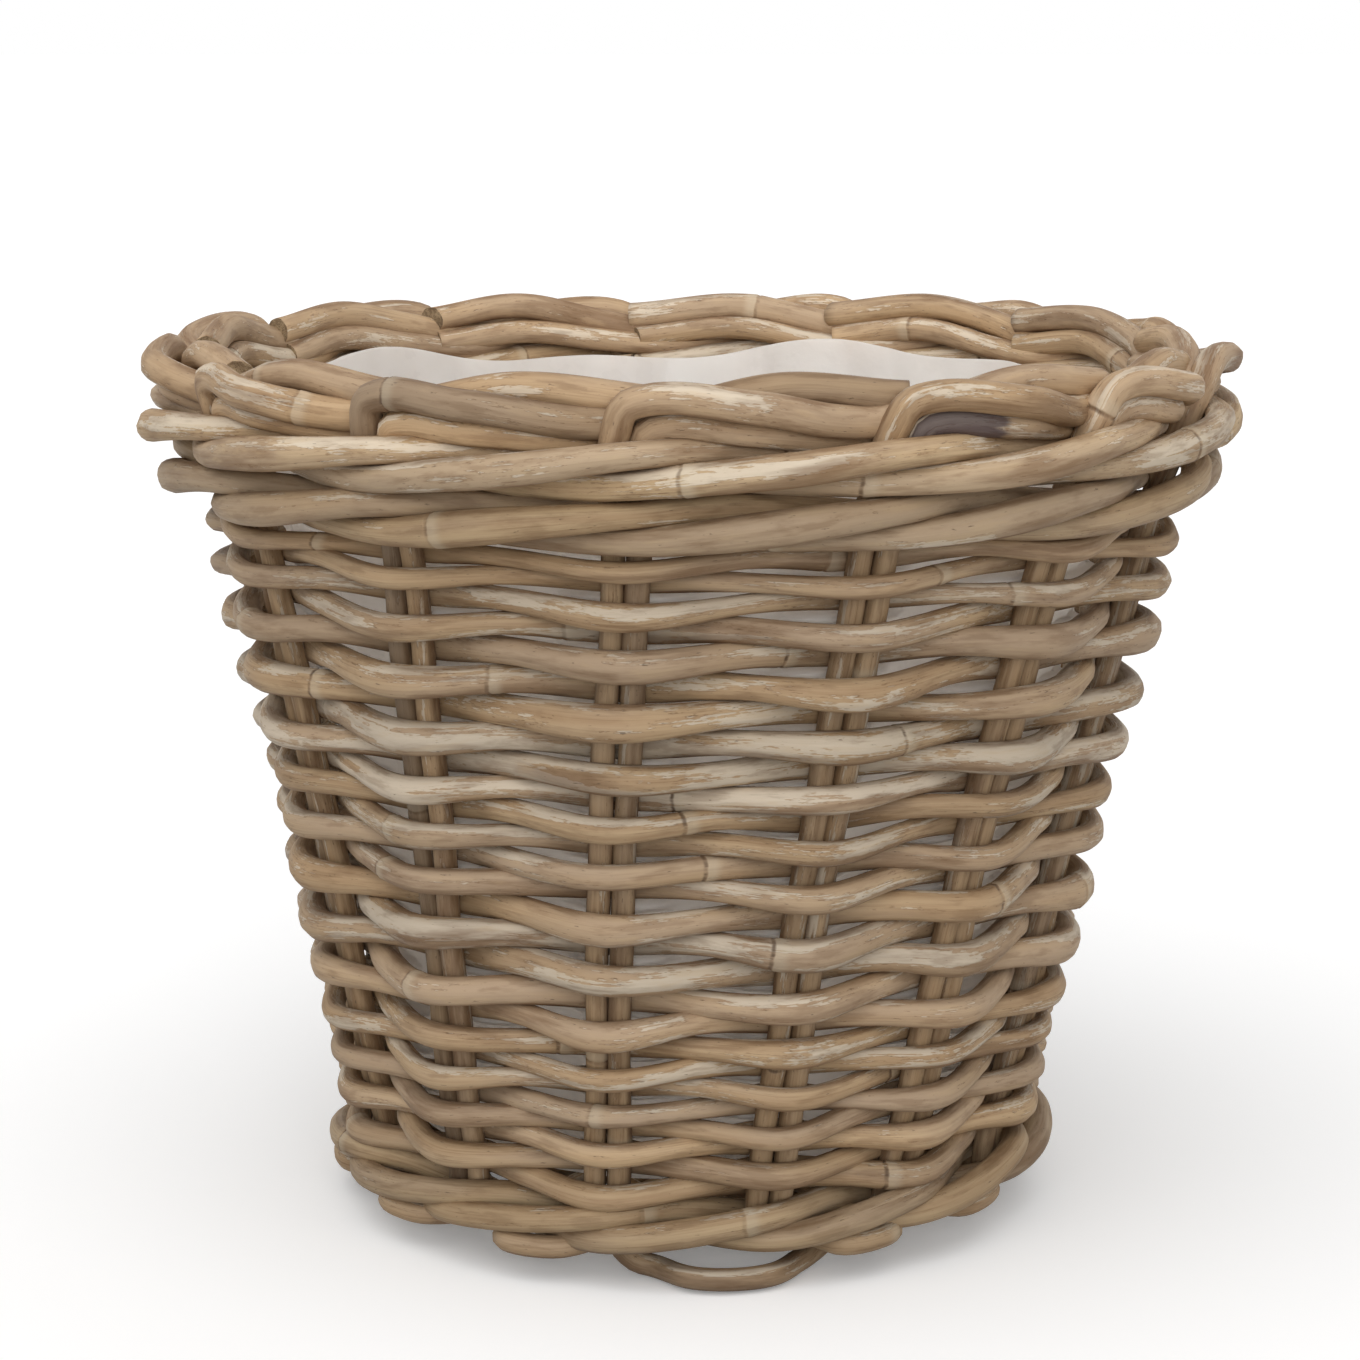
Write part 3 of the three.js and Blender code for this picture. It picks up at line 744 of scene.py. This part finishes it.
def film_material():
    """Pale plastic film, half of whose look is light that comes through it."""
    material, tree, shader = new_material("liner_film")
    place = add_node(tree, "TexCoord", {}).outputs["Object"]
    cloud = cloudy(tree, place, **FILM_CLOUD)
    crumple = cloudy(tree, place, **FILM_CRUMPLE)
    colour = mix(tree, ramp(tree, cloud, *FILM_LIGHT), FILM_DARK_COLOUR, FILM_LIGHT_COLOUR)
    tree.links.new(colour, shader.inputs["Base Color"])
    tree.links.new(ramp(tree, cloud, *FILM_ROUGHNESS), shader.inputs["Roughness"])
    relief = weighted(tree, (cloud, FILM_CLOUD_RELIEF), (crumple, FILM_CRUMPLE_RELIEF))
    add_bump(tree, shader, relief, **FILM_BUMP)
    through = add_node(tree, "BsdfTranslucent", {"Color": FILM_THROUGH_COLOUR})
    both = add_node(tree, "MixShader", {0: FILM_THROUGH, 1: shader.outputs[0], 2: through.outputs[0]})
    tree.links.new(both.outputs[0], tree.nodes["Material Output"].inputs["Surface"])
    return material


MATERIALS = {
    "rattan_stake": cane_material(
        "rattan_stake", light=srgb(186, 159, 125), middle=srgb(162, 133, 99),
        dark=srgb(101, 71, 42), grey=srgb(163, 140, 115)),
    "rattan_weaver": cane_material(
        "rattan_weaver", light=srgb(186, 160, 125), middle=srgb(160, 131, 98),
        dark=srgb(104, 74, 44), grey=srgb(172, 149, 124)),
    "rattan_wale": cane_material(
        "rattan_wale", light=srgb(186, 161, 125), middle=srgb(162, 134, 100),
        dark=srgb(107, 77, 46), grey=srgb(172, 150, 124)),
    "rattan_base": cane_material(
        "rattan_base", light=srgb(182, 153, 114), middle=srgb(154, 124, 87),
        dark=srgb(101, 72, 42), grey=srgb(162, 142, 122)),
    "cut_end": cut_end_material(),
    "liner_film": film_material(),
}


# Stakes

def elbow(along, end_z, reach, upward):
    """The turn of a stake from upright to lying, as distance along the wall, height and stand-off."""
    turns = [math.pi / 2 * step / ELBOW_STEPS for step in range(ELBOW_STEPS + 1)]
    return [
        (along + reach * (1 - math.cos(t)), end_z - upward * reach * (1 - math.sin(t)), 0.0) for t in turns
    ]


def border_run(along, border):
    """A turned-over stake: its turn, past the front, in behind the next pair, along the inside."""
    z = border["z"]
    gap = PAIR_STEP * wall_radius(z)
    return elbow(along, z, border["elbow"], 1) + [
        (BORDER_CREST * gap, z - border["droop"] / 4, border["bulge"]),
        (BORDER_DIVE * gap, z - border["droop"], -border["depth"]),
        (BORDER_TUCK * gap, z - border["droop"] / 2, -border["depth"]),
        (BORDER_TAIL * gap, z + TAIL_RISE, -TAIL_INSET),
        (BORDER_END * gap, z - TAIL_FALL, -TAIL_INSET),
    ]


def foot_run(along, z, loop):
    """A turned-under stake: its turn, and a loop that is tucked up behind the next pair."""
    gap = PAIR_STEP * wall_radius(z)
    return elbow(along, z, FOOT_ELBOW_RADIUS, -1) + [
        (loop["fall"] * gap, z, FOOT_BULGE),
        (loop["crest"] * gap, z, FOOT_BULGE),
        (loop["dive"] * gap, z + loop["rise"] / 3, -FOOT_TUCK_DEPTH),
        (loop["tuck"] * gap, z + loop["rise"], -FOOT_TUCK_DEPTH),
        (loop["end"] * gap, z + loop["rise"], -FOOT_TUCK_DEPTH),
    ]


def foot_loop(pair):
    """The turned-under end of a pair's right stake, from its tail up."""
    loop = FOOT_LOOP
    z = FOOT_LOOP_Z
    if pair in RESTING_PAIRS:
        loop = RESTING_LOOP
        z = RESTING_LOOP_Z - foot_lift(place_angle(pair + loop["dive"], z))
    return foot_run(PAIR_PITCH / 2, z, loop)[::-1]


def stake_knots(pair, route, border_swell):
    """Knots along a stake's route, thicker in the border."""
    along, z, stand_off = np.array(route).T
    angle = place_angle(pair, z) + along / wall_radius(z)
    swell = np.interp(z, BORDER_SWELL_Z, (1, border_swell))
    size = STAKE_DIAMETER * np.column_stack([swell, swell])
    return np.concatenate([on_wall(angle, stand_off, z), size], axis=1)


def add_stakes():
    wall = np.linspace(WALL_Z[1], WALL_Z[3], STAKE_WALL_KNOTS)
    for pair in range(1, PAIRS + 1):
        left = [(-PAIR_PITCH / 2, z, 0.0) for z in (STAKE_FOOT_Z, *wall)]
        left += border_run(-PAIR_PITCH / 2, UPPER_BORDER)
        right = foot_loop(pair) + [(PAIR_PITCH / 2, z, 0.0) for z in wall]
        right += border_run(PAIR_PITCH / 2, LOWER_BORDER)
        for side, route, border in (("left", left, UPPER_BORDER), ("right", right, LOWER_BORDER)):
            own = character(**STAKE_LOOK)
            name = f"stake_{pair:02d}_{side}"
            if name == DARK_STAKE:
                own["rod"][SHADE] = DARK_STAKE_SHADE
            add_rod(name, stake_knots(pair, route, border["swell"]), "rattan_stake", own)


# Side weavers

def row_level(place):
    """The height of a row at a place, and how far it is there to the next row."""
    row = np.floor(place / PAIRS)
    within = place - row * PAIRS
    row = row + np.clip(within - (PAIRS - STEP_UP_PAIRS), 0, None) / STEP_UP_PAIRS
    level = FIRST_ROW_Z + ROW_PITCH * row
    pitch = np.full_like(row, ROW_PITCH)
    for wave, size in enumerate(ROW_WAVES, start=1):
        bend = math.pi * wave / (ROWS - 1)
        level = level + size * np.sin(bend * row)
        pitch = pitch + size * bend * np.cos(bend * row)
    return level, pitch


def side_weaver_knots(first, last):
    """Knots at each pair and halfway between, in front of odd places and behind even ones."""
    place = np.arange(2 * first, 2 * last + 1) / 2
    whole = place == np.floor(place)
    front = np.where(whole, np.where(place % 2 == 1, 1.0, -1.0), 0.0)
    level, pitch = row_level(place)
    depth = WEAVER_DEPTH * pitch / ROW_PITCH
    height = pitch * np.select([front > 0, front < 0], [WEAVER_SWELL, WEAVER_BACK_SWELL], WEAVER_SQUEEZE)
    stand_off = front * ((STAKE_DIAMETER + depth) / 2 + PASS_CLEARANCE)
    butt = BUTT_GAP / 2 / (wall_radius(level) * PAIR_STEP)
    place = place + butt * ((place == first) * 1.0 - (place == last) * 1.0)
    dip = np.select([front > 0, front < 0], [WEAVER_DIP, WEAVER_BACK_DIP], 0.0)
    z = level - dip + rng.normal(0, WEAVER_UNEVEN, len(place))
    height = height * rng.uniform(*WEAVER_HEIGHT_SPREAD, len(place))
    points = on_wall(place_angle(place, z), stand_off, z)
    return np.column_stack([points, depth, height])


def add_side_weavers():
    even_places = (ROWS * PAIRS - STEP_UP_PAIRS - 1) // 2
    breaks = [2 * math.floor(even_places * i / SIDE_WEAVERS + 0.5) for i in range(SIDE_WEAVERS + 1)]
    for index in range(SIDE_WEAVERS):
        knots = side_weaver_knots(breaks[index], breaks[index + 1])
        add_rod(f"side_weaver_{index + 1:02d}", knots, "rattan_weaver", character())


# Waling

def wale_stroke(wale):
    """Level, stand-off and height of the section at each half place of a stroke, three places long."""
    offset = (STAKE_DIAMETER + WALE_DEPTH) / 2 + PASS_CLEARANCE
    z = wale["z"]
    low = z - WALE_LAYER / 2
    high = z + WALE_LAYER / 2
    return [
        (z, -offset - PASS_CLEARANCE, WALE_HEIGHT),
        (low, -WALE_INSET, WALE_HEIGHT),
        (low, offset, WALE_HEIGHT),
        (z, offset + wale["bulge"], wale["stroke"]),
        (high, offset, WALE_HEIGHT),
        (high, -WALE_INSET, WALE_HEIGHT),
    ]


def add_wale_round(name, wale):
    stroke = wale_stroke(wale)
    butt = BUTT_GAP / 2 / (wall_radius(wale["z"]) * PAIR_STEP)
    for rod in range(WALE_RODS):
        strokes = math.ceil((PAIRS - rod) / WALE_RODS)
        parts = np.array(stroke * strokes + stroke[:1])
        place = rod + np.arange(len(parts)) / 2
        place[0] += butt
        place[-1] -= butt
        level, stand_off, height = parts.T
        points = on_wall(place_angle(place, level), stand_off, level)
        knots = np.column_stack([points, np.full(len(parts), WALE_DEPTH), height])
        own = character(**WALE_LOOK, shade=wale["shade"])
        add_rod(f"{name}_{rod + 1}", knots, "rattan_wale", own)


# Base

def add_base_sticks():
    spread = BASE_STICK_DIAMETER + BASE_STICK_GAP
    fan_radius = BASE_BIND_RADIUS - BASE_WEAVER_WIDTH
    for group in range(STICK_GROUPS):
        eye_z = BASE_Z + (spread / 2 if group == 0 else -spread / 2)
        heading = group * math.pi / 2
        spin = np.array([[math.cos(heading), -math.sin(heading)], [math.sin(heading), math.cos(heading)]])
        for stick in range(STICKS_IN_GROUP):
            offset = stick - (STICKS_IN_GROUP - 1) / 2
            fan = offset * 2 * math.pi / SPOKES
            half = [(BASE_EYE_RADIUS, offset * spread, eye_z)]
            half += [(r * math.cos(fan), r * math.sin(fan), BASE_Z) for r in (fan_radius, BASE_RADIUS)]
            points = np.array([(-x, y, z) for x, y, z in reversed(half)] + half)
            points[:, :2] = points[:, :2] @ spin.T
            knots = np.column_stack([points, np.full((len(points), 2), BASE_STICK_DIAMETER)])
            name = f"base_stick_{group * STICKS_IN_GROUP + stick + 1}"
            add_rod(name, knots, "rattan_base", character(**BASE_STICK_LOOK), upright=True)


def add_base_weavers():
    room = BASE_RADIUS - BASE_BIND_RADIUS - BASE_ROW_WIDTH - BASE_WEAVER_WIDTH / 2
    spokes = math.floor(SPOKES * room / (BASE_WEAVERS * BASE_ROW_WIDTH))
    place = np.arange(2 * spokes + 1) / 2
    whole = place == np.floor(place)
    angle = 2 * math.pi * place / SPOKES
    size = np.tile([BASE_WEAVER_HEIGHT, BASE_WEAVER_WIDTH], (len(place), 1))
    for weaver in range(BASE_WEAVERS):
        over = np.where(whole, np.where((place + weaver) % 2 == 0, 1.0, -1.0), 0.0)
        z = BASE_Z + over * BASE_WAVE
        radius = BASE_BIND_RADIUS + BASE_ROW_WIDTH * (weaver + BASE_WEAVERS * place / SPOKES)
        knots = np.column_stack([radius * np.cos(angle), radius * np.sin(angle), z, size])
        own = character(**BASE_WEAVER_LOOK)
        add_rod(f"base_weaver_{weaver + 1}", knots, "rattan_base", own, upright=True)


# Liner

def creases(angle, z):
    """How far the film stands in from the wall: soft folds that wander as they climb."""
    depth = np.zeros(np.broadcast(angle, z).shape)
    for count, sway, size in FOLDS:
        phase = rng.uniform(0, CREASE_PHASES, 3)
        twist = CREASE_TWIST * np.sin(CREASE_TWISTS * angle + phase[2])
        wander = CREASE_WANDER * np.sin(sway * z + phase[1] + twist)
        depth += size * np.abs(np.sin(count / 2 * angle + phase[0] + wander))
    return CREASE_DEPTH * depth / sum(size for count, sway, size in FOLDS)


def swells(angle, z):
    """How far the film is pressed out, into the hollow behind each pass in front of a pair."""
    rows = np.arange(-SPARE_ROWS, ROWS + SPARE_ROWS, dtype=float)
    row = np.interp(z + WEAVER_BACK_DIP, row_level(rows * PAIRS)[0], rows)
    place = FRONT_PAIR + (angle - place_angle(FRONT_PAIR, z)) / PAIR_STEP
    place = (place - (place_angle(place, z) - angle) / PAIR_STEP) % PAIRS
    row = row - np.clip(place - (PAIRS - STEP_UP_PAIRS), 0, None) / STEP_UP_PAIRS
    hollow = np.clip(-np.cos(math.pi * row) * np.cos(math.pi * place), 0, 1)
    share = np.interp(hollow, SWELL_HOLLOW, (0, 1))
    return SWELL_DEPTH * share * share * (3 - 2 * share) * np.clip((WALL_Z[3] - z) / SWELL_FADE, 0, 1)


def liner_shape(angle):
    """Radius and height of the film's points, in rings from the middle of its floor to its edge."""
    z = np.linspace(LINER_Z[0], LINER_Z[-1], LINER_LEVELS)[:, None]
    folds = creases(angle, z)
    fade = np.clip((z - LINER_Z[0]) / CREASE_FADE, CREASE_LEAST, 1)
    radius = np.interp(z, LINER_Z, LINER_RADIUS) + (swells(angle, z) - folds) * fade
    edge = sum(size * np.sin(count * angle + phase) for size, count, phase in LINER_EDGE_WAVES)
    near_edge = np.clip((z - LINER_Z[2]) / (LINER_Z[3] - LINER_Z[2]), 0, 1)
    height = z + (edge - LINER_EDGE_DROP) * near_edge
    share = np.linspace(LINER_FLOOR_EYE, 1, LINER_FLOOR_RINGS, endpoint=False)[:, None]
    floor_radius = radius[:1] * share
    floor_height = LINER_Z[0] + LINER_FLOOR_CREASE * folds[:1] * np.sin(math.pi * share)
    return np.concatenate([floor_radius, radius]), np.concatenate([floor_height, height])


def add_liner():
    angle = np.linspace(-math.pi, math.pi, LINER_SIDES, endpoint=False)[None, :]
    radius, height = liner_shape(angle)
    points = np.stack([radius * np.sin(angle), -radius * np.cos(angle), height], axis=-1)
    points = settle(points.reshape(-1, 3))
    here, beside, beside_above, above = ring_corners(len(radius), LINER_SIDES)
    faces = np.stack([here, above, beside_above, beside], axis=-1).reshape(-1, 4)
    mesh = bpy.data.meshes.new("plastic_liner")
    mesh.from_pydata(points * MM, [], [*faces.tolist(), np.arange(LINER_SIDES).tolist()])
    mesh.polygons.foreach_set("use_smooth", np.ones(len(mesh.polygons), bool))
    mesh.materials.append(MATERIALS["liner_film"])
    piece = bpy.data.objects.new("plastic_liner_film", mesh)
    bpy.context.scene.collection.objects.link(piece)
    film = piece.modifiers.new("film", "SOLIDIFY")
    film.thickness = LINER_FILM * MM
    film.offset = 0.0
    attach(piece, "root")
    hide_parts("plastic_liner")


# Camera, stage and light, in metres, with the angles of the suns in degrees

CAMERA_BACK = 1.0134
CAMERA_UP = 0.3348
CAMERA_ASIDE = -0.0029
CAMERA_PITCH = math.radians(10.46)
CAMERA_LENS = 95.3
CAMERA_SENSOR = 36.0
FLOOR_SIZE = 60.0
FLOOR_GLOW = 0.15
FLOOR_BOUNCE = (0.5, 0.5, 0.5, 1.0)
WHITE = (1.0, 1.0, 1.0, 1.0)
KEY_SUN = {"azimuth": -18, "elevation": 58, "strength": 1.1, "spread": 70}
FRONT_SUN = {"azimuth": 4, "elevation": 13, "strength": 0.95, "spread": 32}
SKY_LIGHT = 0.57
SKY_SEEN = 1.0


def add_camera():
    camera = bpy.data.objects.new("camera", bpy.data.cameras.new("camera"))
    bpy.context.scene.collection.objects.link(camera)
    camera.location = (AXIS[0] * MM + CAMERA_ASIDE, AXIS[1] * MM - CAMERA_BACK, CAMERA_UP)
    camera.rotation_euler = (math.pi / 2 - CAMERA_PITCH, 0, 0)
    camera.data.lens = CAMERA_LENS
    camera.data.sensor_width = CAMERA_SENSOR
    camera.data.clip_end = 2 * FLOOR_SIZE
    bpy.context.scene.camera = camera


def seen_directly(tree):
    """One where a ray comes straight from the eye, a mirror or glass, and nought elsewhere."""
    path = add_node(tree, "LightPath", {})
    mirrored = maths(tree, "MAXIMUM", path.outputs["Is Glossy Ray"], path.outputs["Is Transmission Ray"])
    return maths(tree, "MAXIMUM", path.outputs["Is Camera Ray"], mirrored)


def floor_material():
    """White where it is seen, with a little light of its own, and grey in the light it gives back."""
    material, tree, shader = new_material("floor")
    direct = seen_directly(tree)
    tree.links.new(mix(tree, direct, FLOOR_BOUNCE, WHITE), shader.inputs["Base Color"])
    tree.links.new(maths(tree, "MULTIPLY", direct, FLOOR_GLOW), shader.inputs["Emission Strength"])
    shader.inputs["Emission Color"].default_value = WHITE
    shader.inputs["Roughness"].default_value = 1.0
    shader.inputs["Specular IOR Level"].default_value = 0.0
    return material


def add_floor():
    half = FLOOR_SIZE / 2
    corners = [(-half, -half, 0), (half, -half, 0), (half, half, 0), (-half, half, 0)]
    mesh = bpy.data.meshes.new("floor")
    mesh.from_pydata(corners, [], [(0, 1, 2, 3)])
    mesh.materials.append(floor_material())
    floor = bpy.data.objects.new("floor", mesh)
    bpy.context.scene.collection.objects.link(floor)


def add_sun(name, azimuth, elevation, strength, spread):
    """A broad distant lamp; azimuth is from the front, positive to the right."""
    sun = bpy.data.objects.new(name, bpy.data.lights.new(name, "SUN"))
    bpy.context.scene.collection.objects.link(sun)
    a = math.radians(azimuth)
    e = math.radians(elevation)
    towards = Vector((math.sin(a) * math.cos(e), -math.cos(a) * math.cos(e), math.sin(e)))
    sun.rotation_euler = towards.to_track_quat("Z", "Y").to_euler()
    sun.data.energy = strength
    sun.data.angle = math.radians(spread)


def add_sky():
    """A white studio, dimmer as a light than where it is seen."""
    world = bpy.data.worlds.new("studio")
    bpy.context.scene.world = world
    world.use_nodes = True
    tree = world.node_tree
    background = tree.nodes["Background"]
    background.inputs["Color"].default_value = WHITE
    strength = ramp(tree, seen_directly(tree), 0.0, 1.0, SKY_LIGHT, SKY_SEEN)
    tree.links.new(strength, background.inputs["Strength"])


add_camera()
add_floor()
add_sun("key", **KEY_SUN)
add_sun("front", **FRONT_SUN)
add_sky()
bpy.context.scene.view_settings.view_transform = "Standard"
add_stakes()
add_side_weavers()
add_wale_round("foot_wale", FOOT_WALE)
add_wale_round("rim_wale_lower", LOWER_WALE)
add_wale_round("rim_wale_upper", UPPER_WALE)
add_base_sticks()
add_base_weavers()
add_liner()
